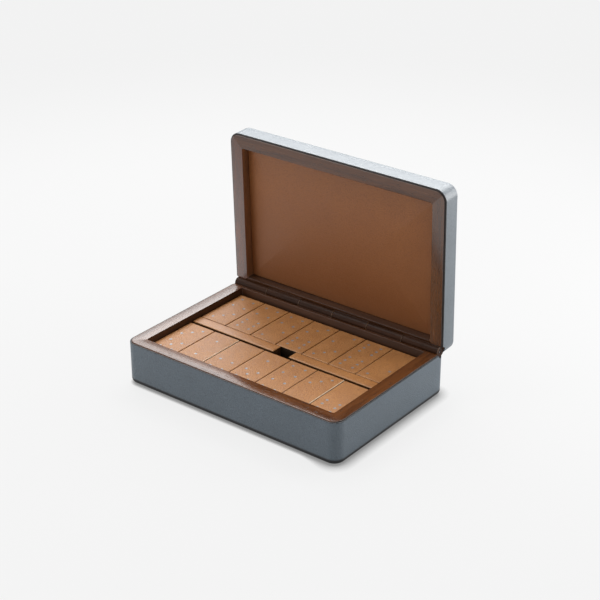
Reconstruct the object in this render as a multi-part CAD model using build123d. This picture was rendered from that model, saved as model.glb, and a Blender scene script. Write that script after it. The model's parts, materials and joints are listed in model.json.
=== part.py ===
from build123d import *
import math
import os

# Domino storage box: a mitred walnut case with a hinged lid, wrapped outside in leather. It holds a
# double-six set in two rows, two dominoes deep, with a divider in two pieces between the rows.
# Sizes are in millimetres. The origin is the middle of the underside, on the surface it stands on.
# +X runs along the rows, +Y towards the hinge and +Z up. The lid is drawn shut and then turned open.

# Dominoes
highest_half = 6
domino_width = 24.8
domino_length = 49.0
domino_thickness = 11.0
domino_edge = 0.6  # how far its edges are eased
pip_radius = 0.95
pip_depth = 0.25
pip_sides = 8  # of the pointed tool that presses a pip in
pip_column = 5.7  # from the middle of a half to a side column
pip_row = 6.0  # from the middle of a half to an outer row

# How the set is put away, from left to right: pips on the half by the hinge, pips on the other half
upper_back_row = [(4, 3), (4, 6), (4, 2), (3, 6), (2, 3), (6, 6), (0, 2)]
upper_front_row = [(3, 5), (1, 1), (0, 4), (1, 5), (4, 4), (3, 0), (0, 6)]
lower_back_row = [(0, 0), (1, 0), (5, 0), (2, 1), (1, 3), (4, 1), (6, 1)]
lower_front_row = [(2, 2), (5, 2), (2, 6), (3, 3), (5, 4), (5, 5), (6, 5)]

# Room around the dominoes
domino_gap = 0.4  # between neighbours in a row
domino_seat = 0.2  # under each domino
left_play = 0.6
right_play = 1.8
front_play = 0.4
back_play = 2.6
rim_above_dominoes = 5.3

# Divider between the rows
divider_width = 9.5
divider_front_play = 2.7  # between the front row and the divider
divider_back_play = 0.4
divider_end_play = 0.1
divider_cover = 0.8  # leather over its core
divider_edge = 0.5  # how far its edges are eased
finger_gap = 15.0  # between its two pieces

# Walnut frames and their boards
rail_width = 10.8
corner_radius = 8.0
rim_edge = 0.8  # rounding of the rim's outer edge
well_edge = 0.4  # rounding of the rim's inner edge
board_rebate = 5.4  # how far a board runs into the rails
board_play = 0.1
floor_board = 5.4
floor_lining = 1.2
lid_board = 6.8
lid_lining = 2.0
lid_recess = 7.2  # from the lid's rim down to its lining
lining_play = 0.2

# Leather outside
leather = 1.0
leather_below_rim = 0.7
foot_radius = 3.5  # where the leather turns under the case
lid_top_radius = 2.8
turn_in = 12.0  # leather turned under the case, from its outside
window_radius = 4.0
base_pad_proud = 1.0
base_pad_play = 0.2

# Hinge along the back: turned knuckles on one pin, let into a cove in both frames
lid_gap = 0.5  # between the two rims when shut
hinge_inset = 4.4  # from the frame's back face to the axis
knuckle_count = 6
knuckle_radius = 4.2
knuckle_clearance = 0.3  # between the knuckles and the other frame's cove
knuckle_gap = 0.4
knuckle_edge = 0.3
barrel_inset = 0.8  # from the frame's end to the barrel's end
pin_radius = 1.0
pin_clearance = 0.05
pin_inset = 0.5  # from the barrel's end to the pin's end
bevel_angle = 45.0  # the back edges meet on these bevels and stop the lid
bevel_play = 2.0  # degrees between the bevels when the lid is open

# Places that follow from the sizes above
dominoes_per_row = len(upper_back_row)
domino_pitch = domino_width + domino_gap
well_length = left_play + dominoes_per_row * domino_pitch - domino_gap + right_play
divider_room = divider_front_play + divider_width + divider_back_play
well_depth = front_play + domino_length + divider_room + domino_length + back_play
frame_length = well_length + 2 * rail_width
frame_depth = well_depth + 2 * rail_width

frame_bottom = base_pad_proud + leather
floor_z = frame_bottom + floor_board + floor_lining
lower_domino_z = floor_z + domino_seat
upper_domino_z = lower_domino_z + domino_thickness + domino_seat
divider_top = upper_domino_z + domino_thickness
rim_z = divider_top + rim_above_dominoes

lid_rim_z = rim_z + lid_gap
lid_lining_z = lid_rim_z + lid_recess
lid_board_z = lid_lining_z + lid_lining
lid_frame_top = lid_board_z + lid_board
lid_top = lid_frame_top + leather

front_row_y = -well_depth / 2 + front_play + domino_length / 2
back_row_y = well_depth / 2 - back_play - domino_length / 2
divider_y = front_row_y + domino_length / 2 + divider_front_play + divider_width / 2
first_domino_x = -well_length / 2 + left_play + domino_width / 2

hinge_y = frame_depth / 2 - hinge_inset
hinge_z = rim_z + lid_gap / 2
cove_radius = knuckle_radius + knuckle_clearance
barrel_length = frame_length - 2 * barrel_inset
knuckle_length = (barrel_length - (knuckle_count - 1) * knuckle_gap) / knuckle_count
bevel_slope = math.tan(math.radians(bevel_angle))
open_angle = 2 * bevel_angle - bevel_play
past = frame_depth  # a tool that has to reach past the box is this long


def block(length, depth, low, high, radius=0.0):
    """An upright block round the Z axis, with rounded corners in plan if radius is given."""
    outline = RectangleRounded(length, depth, radius) if radius else Rectangle(length, depth)
    return Pos(0, 0, low) * extrude(outline, amount=high - low)


def lowest_edges(solid):
    return solid.edges().group_by(Axis.Z)[0]


def highest_edges(solid):
    return solid.edges().group_by(Axis.Z)[-1]


def along_hinge(outline, length):
    """A prism on the hinge's axis, drawn in Y and Z from that axis and centred along X."""
    return Pos(0, hinge_y, hinge_z) * extrude(Plane.YZ * outline, amount=length / 2, both=True)


def hinge_relief(side):
    """What both frames lose at the back: a cove round the knuckles and the bevel behind them.
    side is -1 for the case, below the axis, and 1 for the lid, above it."""
    cove = along_hinge(Circle(cove_radius), frame_length + past)
    corners = [(0, 0), (past, side * past * bevel_slope), (past, -side * past), (0, -side * past)]
    bevel = along_hinge(Polygon(*corners, align=None), frame_length + past)
    return cove + bevel


# Walnut frames


def plan_corners(half_length, half_depth):
    """Corners of a rectangle round the Z axis, counter-clockwise from the front left."""
    right = [(half_length, -half_depth), (half_length, half_depth)]
    return [(-half_length, -half_depth), *right, (-half_length, half_depth)]


def mitred_rails(frame):
    """Cuts a frame along its four mitres and names the rails."""
    outer = plan_corners(frame_length / 2 + past, frame_depth / 2 + past)
    inner = plan_corners(well_length / 2, well_depth / 2)
    sides = ["front", "right", "back", "left"]
    rails = {}
    for place, name in enumerate(sides):
        following = (place + 1) % len(sides)
        plan = Polygon(outer[place], outer[following], inner[following], inner[place], align=None)
        rails[name + "_rail"] = frame & extrude(plan, amount=lid_top)
    return rails


def open_frame(envelope, rim_low, rim_high, board_low, board_high):
    """Hollows a frame's envelope: the well between the rims and the rebate for the board."""
    well = block(well_length, well_depth, rim_low, rim_high)
    rebate_length = well_length + 2 * board_rebate
    rebate_depth = well_depth + 2 * board_rebate
    return envelope - well - block(rebate_length, rebate_depth, board_low, board_high)


def round_well(frame, rim):
    """Rounds the inner edge of the rim at height rim."""
    reach_x = well_length / 2 + well_edge
    reach_y = well_depth / 2 + well_edge
    level = frame.edges().filter_by_position(Axis.Z, rim - well_edge / 2, rim + well_edge / 2)
    inner = level.filter_by_position(Axis.X, -reach_x, reach_x)
    return fillet(inner.filter_by_position(Axis.Y, -reach_y, reach_y), well_edge)


def base_envelope(top):
    """The case's wooden outside up to a given height, bevelled where the leather turns under."""
    body = block(frame_length, frame_depth, frame_bottom, top, corner_radius)
    return chamfer(lowest_edges(body), foot_radius - leather)


def base_rails():
    envelope = base_envelope(rim_z)
    envelope = fillet(highest_edges(envelope), rim_edge)
    board_top = frame_bottom + floor_board
    frame = open_frame(envelope, frame_bottom, rim_z, frame_bottom, board_top)
    frame = round_well(frame, rim_z) - hinge_relief(-1)
    return {"base_" + name: rail for name, rail in mitred_rails(frame).items()}


def lid_envelope(bottom):
    """The lid's wooden outside down to a given height, bevelled under the leather's top edge."""
    body = block(frame_length, frame_depth, bottom, lid_frame_top, corner_radius)
    return chamfer(highest_edges(body), lid_top_radius - leather)


def lid_rails():
    envelope = lid_envelope(lid_rim_z)
    envelope = fillet(lowest_edges(envelope), rim_edge)
    frame = open_frame(envelope, lid_rim_z, lid_frame_top, lid_board_z, lid_frame_top)
    frame = round_well(frame, lid_rim_z) - hinge_relief(1)
    return {"lid_" + name: rail for name, rail in mitred_rails(frame).items()}


# Boards and linings


def rebated_board(low, high):
    length = well_length + 2 * (board_rebate - board_play)
    depth = well_depth + 2 * (board_rebate - board_play)
    return block(length, depth, low, high)


def lining(low, high):
    return block(well_length - 2 * lining_play, well_depth - 2 * lining_play, low, high)


# Leather outside


def turn_in_window(play=0.0):
    """Outline of the underside inside the turned-in leather, less some play."""
    length = frame_length + 2 * (leather - turn_in - play)
    depth = frame_depth + 2 * (leather - turn_in - play)
    return length, depth, window_radius - play


def base_leather():
    length = frame_length + 2 * leather
    depth = frame_depth + 2 * leather
    top = rim_z - leather_below_rim
    outside = block(length, depth, base_pad_proud, top, corner_radius + leather)
    outside = fillet(lowest_edges(outside), foot_radius)
    window_length, window_depth, radius = turn_in_window()
    window = block(window_length, window_depth, 0, frame_bottom, radius)
    return outside - base_envelope(rim_z) - window - hinge_relief(-1)


def base_pad():
    length, depth, radius = turn_in_window(base_pad_play)
    return block(length, depth, 0, frame_bottom, radius)


def lid_leather():
    length = frame_length + 2 * leather
    depth = frame_depth + 2 * leather
    bottom = lid_rim_z + leather_below_rim
    outside = block(length, depth, bottom, lid_top, corner_radius + leather)
    outside = fillet(highest_edges(outside), lid_top_radius)
    return outside - lid_envelope(lid_rim_z) - hinge_relief(1)


# Divider


def divider_piece(side):
    """One piece of the divider, from a side wall to the finger gap: its core and leather cover.
    side is -1 on the left and 1 on the right."""
    wall_end = well_length / 2 - divider_end_play
    length = wall_end - finger_gap / 2
    middle = side * (wall_end + finger_gap / 2) / 2
    whole = block(length, divider_width, floor_z, divider_top)
    uprights = whole.edges().filter_by(Axis.Z)
    cover = chamfer(uprights + highest_edges(whole), divider_edge)
    core_length = length - 2 * divider_cover
    core_width = divider_width - 2 * divider_cover
    core = block(core_length, core_width, floor_z, divider_top - divider_cover)
    place = Pos(middle, divider_y, 0)
    return place * core, place * (cover - core)


# Hinge


def knuckle(side):
    """One knuckle at the middle of the hinge: a turned barrel on the saddle that seats it in its
    frame's cove. side is -1 for a knuckle of the case and 1 for one of the lid."""
    rim = side * lid_gap / 2
    deep = side * past * bevel_slope
    corners = [(-past, rim), (lid_gap / 2 / bevel_slope, rim), (past, deep), (-past, deep)]
    saddle = Circle(cove_radius) & Polygon(*corners, align=None)
    barrel = along_hinge(Circle(knuckle_radius), knuckle_length)
    barrel = chamfer(barrel.edges().filter_by(GeomType.CIRCLE), knuckle_edge)
    bore = along_hinge(Circle(pin_radius + pin_clearance), knuckle_length)
    return barrel + along_hinge(saddle, knuckle_length) - bore


def knuckles(side):
    """Every other knuckle along the barrel, starting with the case's at the left."""
    pitch = knuckle_length + knuckle_gap
    first = -(knuckle_count - 1) / 2 * pitch
    start = 0 if side < 0 else 1
    one = knuckle(side)
    return Compound([Pos(first + place * pitch, 0, 0) * one for place in range(start, knuckle_count, 2)])


def hinge_pin():
    return along_hinge(Circle(pin_radius), barrel_length - 2 * pin_inset)


# Dominoes


def pip_places(pips):
    """Where the pips of one half lie, from its middle."""
    diagonal = [(pip_column, pip_row), (-pip_column, -pip_row)]
    other_diagonal = [(-pip_column, pip_row), (pip_column, -pip_row)]
    places = [(0, 0)] if pips % 2 else []
    if pips > 1:
        places += diagonal
    if pips > 3:
        places += other_diagonal
    if pips == highest_half:
        places += [(-pip_column, 0), (pip_column, 0)]
    return places


def domino(back_pips, front_pips):
    """One domino with its middle on the Z axis and its underside at 0."""
    body = block(domino_width, domino_length, 0, domino_thickness)
    body = chamfer(body.edges(), domino_edge)
    point = Vertex(0, 0, domino_thickness - pip_depth)
    pip = loft([Pos(0, 0, domino_thickness) * RegularPolygon(pip_radius, pip_sides), point])
    halves = [(domino_length / 4, back_pips), (-domino_length / 4, front_pips)]
    dimples = [Pos(x, y + half, 0) * pip for half, pips in halves for x, y in pip_places(pips)]
    return body - dimples if dimples else body


def domino_row(row, row_y, low):
    found = {}
    for place, (back_pips, front_pips) in enumerate(row):
        fewer, more = sorted((back_pips, front_pips))
        spot = Pos(first_domino_x + place * domino_pitch, row_y, low)
        found[f"domino_{fewer}_{more}"] = spot * domino(back_pips, front_pips)
    return found


def all_dominoes():
    found = domino_row(lower_back_row, back_row_y, lower_domino_z)
    found |= domino_row(lower_front_row, front_row_y, lower_domino_z)
    found |= domino_row(upper_back_row, back_row_y, upper_domino_z)
    found |= domino_row(upper_front_row, front_row_y, upper_domino_z)
    return found


# The whole box


def base_pieces():
    found = base_rails()
    found["floor_board"] = rebated_board(frame_bottom, frame_bottom + floor_board)
    found["floor_lining"] = lining(frame_bottom + floor_board, floor_z)
    found["base_leather"] = base_leather()
    found["base_pad"] = base_pad()
    for name, side in (("left", -1), ("right", 1)):
        core, cover = divider_piece(side)
        found[f"{name}_divider_core"] = core
        found[f"{name}_divider_cover"] = cover
    found["base_knuckles"] = knuckles(-1)
    found["hinge_pin"] = hinge_pin()
    return found


def lid_pieces():
    """The lid's pieces, drawn shut and turned open about the hinge."""
    found = lid_rails()
    found["lid_board"] = rebated_board(lid_board_z, lid_frame_top)
    found["lid_lining"] = lining(lid_lining_z, lid_board_z)
    found["lid_leather"] = lid_leather()
    found["lid_knuckles"] = knuckles(1)
    hinge = Axis((0, hinge_y, hinge_z), (1, 0, 0))
    return {name: piece.rotate(hinge, -open_angle) for name, piece in found.items()}


os.makedirs("parts", exist_ok=True)
for name, piece in (base_pieces() | lid_pieces() | all_dominoes()).items():
    export_step(piece, f"parts/{name}.step")

print("frame", frame_length, frame_depth, "rim", rim_z, "shut height", lid_top)
print("hinge axis", hinge_y, hinge_z)
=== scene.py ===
import bmesh
import bpy
import json
import math
from mathutils import Matrix, Vector


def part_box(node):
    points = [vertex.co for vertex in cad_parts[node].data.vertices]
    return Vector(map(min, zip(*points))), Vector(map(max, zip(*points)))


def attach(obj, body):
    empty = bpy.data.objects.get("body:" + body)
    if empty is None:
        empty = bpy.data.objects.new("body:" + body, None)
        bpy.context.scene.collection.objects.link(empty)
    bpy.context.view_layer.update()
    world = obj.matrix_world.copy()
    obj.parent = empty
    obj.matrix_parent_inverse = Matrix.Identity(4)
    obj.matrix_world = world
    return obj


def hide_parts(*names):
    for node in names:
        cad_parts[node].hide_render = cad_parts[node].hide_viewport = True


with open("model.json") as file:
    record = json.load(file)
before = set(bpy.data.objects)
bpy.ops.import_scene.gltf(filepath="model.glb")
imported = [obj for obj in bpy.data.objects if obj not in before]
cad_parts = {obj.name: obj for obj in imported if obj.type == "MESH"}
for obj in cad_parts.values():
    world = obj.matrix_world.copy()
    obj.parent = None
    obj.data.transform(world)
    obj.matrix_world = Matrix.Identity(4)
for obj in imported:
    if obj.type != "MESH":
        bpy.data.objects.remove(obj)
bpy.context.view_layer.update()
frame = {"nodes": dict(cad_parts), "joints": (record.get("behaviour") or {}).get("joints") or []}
mm = 0.001


# Where things are, read from the frame

hinge = next(joint for joint in frame["joints"] if joint["name"] == "lid_hinge")
hingePoint = Vector(hinge["pos_m"])
openAngle = -math.radians(hinge["range_deg"][0])  # the frame is stored with the lid open
openLid = (Matrix.Translation(hingePoint) @ Matrix.Rotation(-openAngle, 4, "X")
           @ Matrix.Translation(-hingePoint))
still = Matrix.Identity(4)  # the case's pieces are drawn where they stay
nodePrefix = {"case": "base", "lid": "lid"}  # what the CAD's names start with on each body


def shutBox(node):
    # the lowest and highest corner that a node of the lid has when it is shut
    back = openLid.inverted()
    corners = [back @ vertex.co for vertex in frame["nodes"][node].data.vertices]
    return [Vector(pick(corner[axis] for corner in corners) for axis in range(3)) for pick in (min, max)]


frontLow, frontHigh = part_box("base_front_rail")
leftLow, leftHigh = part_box("base_left_rail")
woodHalfLength, woodHalfDepth = -leftLow.x, -frontLow.y
wellHalfLength, wellHalfDepth = -leftHigh.x, -frontHigh.y
railWidth = woodHalfLength - wellHalfLength
rimHeight = frontHigh.z
caseBottom = frontLow.z


def insetOf(spot):
    # how far in from its nearest side a spot of the shut frames lies
    return min(woodHalfLength - abs(spot.x), woodHalfDepth - abs(spot.y))


# Mesh helpers

def arc(inset, height, radius, start, end, steps):
    # part of a section, in inset from the outline and height; 0 degrees points out and 90 up
    angles = [math.radians(start + (end - start) * step / steps) for step in range(steps + 1)]
    return [(inset - radius * math.cos(a), height + radius * math.sin(a)) for a in angles]


def planRing(halfLength, halfDepth, radius, height, cornerSteps):
    # the points of a rounded rectangle at one height
    ring = []
    for quarter, (sideX, sideY) in enumerate(((1, 1), (-1, 1), (-1, -1), (1, -1))):
        for step in range(cornerSteps + 1):
            angle = (quarter + step / cornerSteps) * math.pi / 2
            ring.append((sideX * (halfLength - radius) + radius * math.cos(angle),
                         sideY * (halfDepth - radius) + radius * math.sin(angle), height))
    return ring


def ringFaces(rows, count, closed):
    # joins rings of as many points; closed brings the last ring to the first, open caps both ends
    faces = []
    for row in range(rows if closed else rows - 1):
        below, above = row * count, (row + 1) % rows * count
        for k in range(count):
            n = (k + 1) % count
            faces.append((below + k, below + n, above + n, above + k))
    if not closed:
        faces.append(tuple(reversed(range(count))))
        faces.append(tuple(range((rows - 1) * count, rows * count)))
    return faces


def sweepSection(section, halfLength, halfDepth, radius, closed, cornerSteps=12, sharpest=0.3 * mm):
    # carries a section round a rounded rectangle
    points = []
    for inset, height in section:
        corner = max(radius - inset, sharpest)
        points += planRing(halfLength - inset, halfDepth - inset, corner, height, cornerSteps)
    return points, ringFaces(len(section), 4 * (cornerSteps + 1), closed)


def meshPiece(name, points, faces, turn=None):
    mesh = bpy.data.meshes.new(name)
    mesh.from_pydata([tuple(p) for p in points], [], faces)
    mesh.validate()
    if turn:
        mesh.transform(turn)
    piece = bpy.data.objects.new(name, mesh)
    bpy.context.scene.collection.objects.link(piece)
    return piece


def facesOut(piece):
    form = bmesh.new()
    form.from_mesh(piece.data)
    bmesh.ops.recalc_face_normals(form, faces=form.faces)
    form.to_mesh(piece.data)
    form.free()


def paintFaces(piece, index, wanted):
    for face in piece.data.polygons:
        if wanted(face):
            face.material_index = index


def finishPiece(piece, body, slot, *nodes, materials, sharpAngle=32):
    # smooths it between its creases, and gives it materials and its place in the frame
    facesOut(piece)
    mesh = piece.data
    mesh.polygons.foreach_set("use_smooth", [True] * len(mesh.polygons))
    mesh.set_sharp_from_angle(angle=math.radians(sharpAngle))
    indices = [face.material_index for face in mesh.polygons]
    mesh.materials.clear()
    for material in materials:
        mesh.materials.append(material)
    mesh.polygons.foreach_set("material_index", indices)
    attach(piece, body)
    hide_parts(*nodes)
    return piece


def cutAway(piece, tool):
    # takes the tool's form out of the piece, in one material
    cut = piece.modifiers.new("relief", "BOOLEAN")
    cut.operation = "DIFFERENCE"
    cut.solver = "EXACT"
    cut.object = tool
    bpy.context.view_layer.update()
    result = bpy.data.meshes.new_from_object(piece.evaluated_get(bpy.context.evaluated_depsgraph_get()))
    result.polygons.foreach_set("material_index", [0] * len(result.polygons))
    piece.modifiers.clear()
    piece.data = result


def keepSide(form, point, normal):
    # cuts off what lies behind a plane and closes the cut
    everything = form.verts[:] + form.edges[:] + form.faces[:]
    bmesh.ops.bisect_plane(form, geom=everything, plane_co=point, plane_no=normal, clear_inner=True)
    openEdges = [edge for edge in form.edges if edge.is_boundary]
    bmesh.ops.holes_fill(form, edges=openEdges, sides=0)


# Node groups

def newGroup(name, values, outputs):
    # a group that takes a Vector and named values
    group = bpy.data.node_groups.new(name, "ShaderNodeTree")
    group.interface.new_socket("Vector", in_out="INPUT", socket_type="NodeSocketVector")
    for label, value in values.items():
        group.interface.new_socket(label, in_out="INPUT", socket_type="NodeSocketFloat").default_value = value
    for label in outputs:
        group.interface.new_socket(label, in_out="OUTPUT", socket_type="NodeSocketFloat")
    return group, group.nodes.new("NodeGroupInput"), group.nodes.new("NodeGroupOutput")


def addNode(tree, kind, settings=None, **inputs):
    # an input is named by its label, or by its number after an i
    node = tree.nodes.new("ShaderNode" + kind)
    for name, value in (settings or {}).items():
        setattr(node, name, value)
    for name, value in inputs.items():
        socket = node.inputs[int(name[1:])] if name[0] == "i" and name[1:].isdigit() else node.inputs[name]
        if isinstance(value, bpy.types.NodeSocket):
            tree.links.new(value, socket)
        else:
            socket.default_value = value
    return node


def mathOf(tree, operation, first, second):
    return addNode(tree, "Math", {"operation": operation}, i0=first, i1=second).outputs[0]


def weigh(tree, first, firstShare, second, secondShare):
    # the sum of two values, each times its share
    return mathOf(tree, "ADD", mathOf(tree, "MULTIPLY", first, firstShare),
                  mathOf(tree, "MULTIPLY", second, secondShare))


def fromTo(tree, value, low, high, outLow=0.0, outHigh=1.0, smooth=False):
    settings = {"interpolation_type": "SMOOTHSTEP" if smooth else "LINEAR"}
    node = addNode(tree, "MapRange", settings, i0=value, i1=low, i2=high, i3=outLow, i4=outHigh)
    return node.outputs[0]


def noiseOf(tree, vector, scale, detail=3.0, rough=0.5, distortion=0.0):
    node = addNode(tree, "TexNoise", None, Vector=vector, Scale=scale, Detail=detail,
                   Roughness=rough, Distortion=distortion)
    return node.outputs["Fac"]


def mixColour(tree, factor, first, second):
    return addNode(tree, "Mix", {"data_type": "RGBA"}, i0=factor, i6=first, i7=second).outputs[2]


def ownPlace(tree):
    # in metres; pieces sit at the origin, so it is their place in the frame too
    return addNode(tree, "TexCoord").outputs["Object"]


def heightOf(tree, place):
    return addNode(tree, "SeparateXYZ", None, i0=place).outputs["Z"]


def drawOut(tree, vector, share):
    # a texture on this vector runs longer along X, the smaller the share
    return addNode(tree, "VectorMath", {"operation": "MULTIPLY"}, i0=vector, i1=(share, 1, 1)).outputs[0]


# a Draw is a share of the length along the wood, and so draws the marks out; poresFrom is the noise that
# pores start at for a Pore Amount of 0 and of 1
woodFigure = {"bandDraw": 0.08, "fibreDraw": 0.035, "poreDraw": 0.06, "fibreWidth": 0.5, "bandTone": 0.62,
              "fibreTone": 0.38, "fibreHeight": 0.35, "poresFrom": (0.78, 0.52), "poreEdge": 0.08}


def makeWoodGrain():
    # the wood runs along the vector's X, and widths are in metres
    values = {"Band Width": 5 * mm, "Pore Width": 0.25 * mm, "Pore Amount": 0.5}
    tree, given, result = newGroup("woodGrain", values, ("Tone", "Pores", "Height"))
    vector = given.outputs["Vector"]
    perBand = mathOf(tree, "DIVIDE", 1.0, given.outputs["Band Width"])
    perPore = mathOf(tree, "DIVIDE", 1.0, given.outputs["Pore Width"])
    perFibre = mathOf(tree, "MULTIPLY", perPore, woodFigure["fibreWidth"])
    bandPlace = drawOut(tree, vector, woodFigure["bandDraw"])
    fibrePlace = drawOut(tree, vector, woodFigure["fibreDraw"])
    porePlace = drawOut(tree, vector, woodFigure["poreDraw"])
    bands = noiseOf(tree, bandPlace, perBand, detail=4.0, rough=0.55, distortion=0.6)
    fibres = noiseOf(tree, fibrePlace, perFibre, rough=0.6)
    streaks = noiseOf(tree, porePlace, perPore, detail=1.0, rough=0.4)
    start = fromTo(tree, given.outputs["Pore Amount"], 0.0, 1.0, *woodFigure["poresFrom"])
    pores = fromTo(tree, streaks, start, mathOf(tree, "ADD", start, woodFigure["poreEdge"]))
    tone = weigh(tree, bands, woodFigure["bandTone"], fibres, woodFigure["fibreTone"])
    raised = mathOf(tree, "MULTIPLY", fibres, woodFigure["fibreHeight"])
    height = mathOf(tree, "SUBTRACT", raised, pores)
    for label, value in (("Tone", tone), ("Pores", pores), ("Height", height)):
        tree.links.new(value, result.inputs[label])
    return tree


# drift and fineScale are scales and push a distance, all relative to the pebbles, creaseWidth is a share of
# their spacing, and the rest are weights
leatherFigure = {"drift": 0.35, "push": 1.1, "creaseWidth": 0.22, "fineScale": 3.0, "domeHeight": 0.6,
                 "fineHeight": 0.2, "creaseDepth": 0.35, "patchTone": 0.7, "fineTone": 0.3}


def makeLeatherGrain():
    values = {"Pebble Size": 0.8 * mm, "Patch Size": 14 * mm, "Softness": 0.5}
    tree, given, result = newGroup("leatherGrain", values, ("Tone", "Creases", "Height"))
    vector = given.outputs["Vector"]
    perPebble = mathOf(tree, "DIVIDE", 1.0, given.outputs["Pebble Size"])
    perPatch = mathOf(tree, "DIVIDE", 1.0, given.outputs["Patch Size"])
    perDrift = mathOf(tree, "MULTIPLY", perPebble, leatherFigure["drift"])
    drift = addNode(tree, "TexNoise", None, Vector=vector, Scale=perDrift, Detail=2.0).outputs["Color"]
    far = mathOf(tree, "MULTIPLY", given.outputs["Pebble Size"], leatherFigure["push"])
    push = addNode(tree, "VectorMath", {"operation": "SCALE"}, i0=drift, Scale=far).outputs[0]
    moved = addNode(tree, "VectorMath", {"operation": "ADD"}, i0=vector, i1=push).outputs[0]
    cells = addNode(tree, "TexVoronoi", {"feature": "SMOOTH_F1"}, Vector=moved, Scale=perPebble,
                    Smoothness=given.outputs["Softness"]).outputs["Distance"]
    edges = addNode(tree, "TexVoronoi", {"feature": "DISTANCE_TO_EDGE"}, Vector=moved,
                    Scale=perPebble).outputs["Distance"]
    creases = fromTo(tree, edges, 0.0, leatherFigure["creaseWidth"], 1.0, 0.0, smooth=True)
    patches = noiseOf(tree, vector, perPatch, detail=4.0, rough=0.55)
    perFine = mathOf(tree, "MULTIPLY", perPebble, leatherFigure["fineScale"])
    fine = noiseOf(tree, vector, perFine, detail=2.0, rough=0.6)
    dome = mathOf(tree, "SUBTRACT", 1.0, cells)
    raised = weigh(tree, dome, leatherFigure["domeHeight"], fine, leatherFigure["fineHeight"])
    sunk = mathOf(tree, "MULTIPLY", creases, leatherFigure["creaseDepth"])
    height = mathOf(tree, "SUBTRACT", raised, sunk)
    tone = weigh(tree, patches, leatherFigure["patchTone"], fine, leatherFigure["fineTone"])
    for label, value in (("Tone", tone), ("Creases", creases), ("Height", height)):
        tree.links.new(value, result.inputs[label])
    return tree


woodGrain = makeWoodGrain()
leatherGrain = makeLeatherGrain()


# Materials

# the stretch of a noise's values that a look's two colours, or its two roughnesses, are spread over
noiseSpan = {"usual": (0.3, 0.7), "wood": (0.32, 0.68), "speckle": (0.35, 0.65)}


def newMaterial(name):
    material = bpy.data.materials.new(name)
    material.use_nodes = True
    tree = material.node_tree
    return material, tree, tree.nodes["Principled BSDF"]


def setGloss(shader, look):
    shader.inputs["Coat Weight"].default_value = look["coat"]
    shader.inputs["Coat Roughness"].default_value = look["coatRoughness"]
    shader.inputs["Specular IOR Level"].default_value = look["specular"]


def placeGroup(tree, group, **values):
    # a space in an input's label is written as _ here
    node = tree.nodes.new("ShaderNodeGroup")
    node.node_tree = group
    for label, value in values.items():
        socket = node.inputs[label.replace("_", " ")]
        if isinstance(value, bpy.types.NodeSocket):
            tree.links.new(value, socket)
        else:
            socket.default_value = value
    return node


def addBump(tree, shader, height, distance):
    bump = addNode(tree, "Bump", None, Height=height, Distance=distance, Strength=1.0)
    tree.links.new(bump.outputs[0], shader.inputs["Normal"])


# each rail has its own finish, as each catches the light in its own way
walnut = {
    "dark": (0.034, 0.0098, 0.0026, 1), "light": (0.122, 0.042, 0.0118, 1), "pore": (0.010, 0.004, 0.002, 1),
    "roughness": (0.20, 0.29), "bandWidth": 5.5 * mm, "poreWidth": 0.32 * mm, "poreAmount": 0.45,
    "poreDepth": 0.03 * mm, "coat": 0.05, "coatRoughness": 0.2, "specular": 0.5,
}
# painted shade: the barrel's walnut is far darker than the rails', as it sits in the lid's shade; the
# divider's cores take it too
barrelPaintedShadeWalnut = walnut | {"dark": (0.008, 0.0026, 0.0008, 1), "light": (0.040, 0.0132, 0.0040, 1),
                         "roughness": (0.40, 0.50), "coat": 0.0, "specular": 0.1}
# painted shade: the walls inside the well are a darker walnut
insidePaintedShadeWalnut = walnut | {"dark": (0.021, 0.0070, 0.0020, 1), "light": (0.066, 0.0225, 0.0066, 1),
                         "roughness": (0.42, 0.50), "coat": 0.0, "specular": 0.45}
# painted light: the inner wall of the lid's left rail is a lighter walnut
lidInsidePaintedLightWalnut = insidePaintedShadeWalnut | {"dark": (0.098, 0.0370, 0.0140, 1), "light": (0.285, 0.1150, 0.0430, 1)}
satinWalnut = walnut | {"specular": 0.28, "coat": 0.0, "roughness": (0.15, 0.21)}
glossWalnut = walnut | {"specular": 0.56, "coat": 0.08}
oiledWalnut = walnut | {"specular": 0.60, "coat": 0.22}
# painted glint: the knuckles' end edges are a lighter walnut
paintedGlintWalnut = walnut | {"dark": (0.075, 0.034, 0.015, 1), "light": (0.17, 0.09, 0.046, 1)}
# painted sheen: its colours are lighter than the walnut's; over the heights in bareTop its coat runs out
# and a painted shade darkens it towards the top, by topShade
polishedPaintedSheenWalnut = walnut | {"dark": (0.049, 0.0113, 0.0031, 1), "light": (0.172, 0.0480, 0.0142, 1),
                           "specular": 1.0, "coat": 1.0, "bareTop": (110 * mm, 165 * mm), "topShade": 0.4}
waxedWalnut = walnut | {"specular": 1.0, "coat": 0.25}
# painted shade: the back rails by the hinge are a darker walnut
hingePaintedShadeWalnut = walnut | {"dark": (0.022, 0.0066, 0.0018, 1), "light": (0.078, 0.0270, 0.0078, 1),
                        "roughness": (0.30, 0.38), "coat": 0.0, "specular": 0.2}


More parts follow.
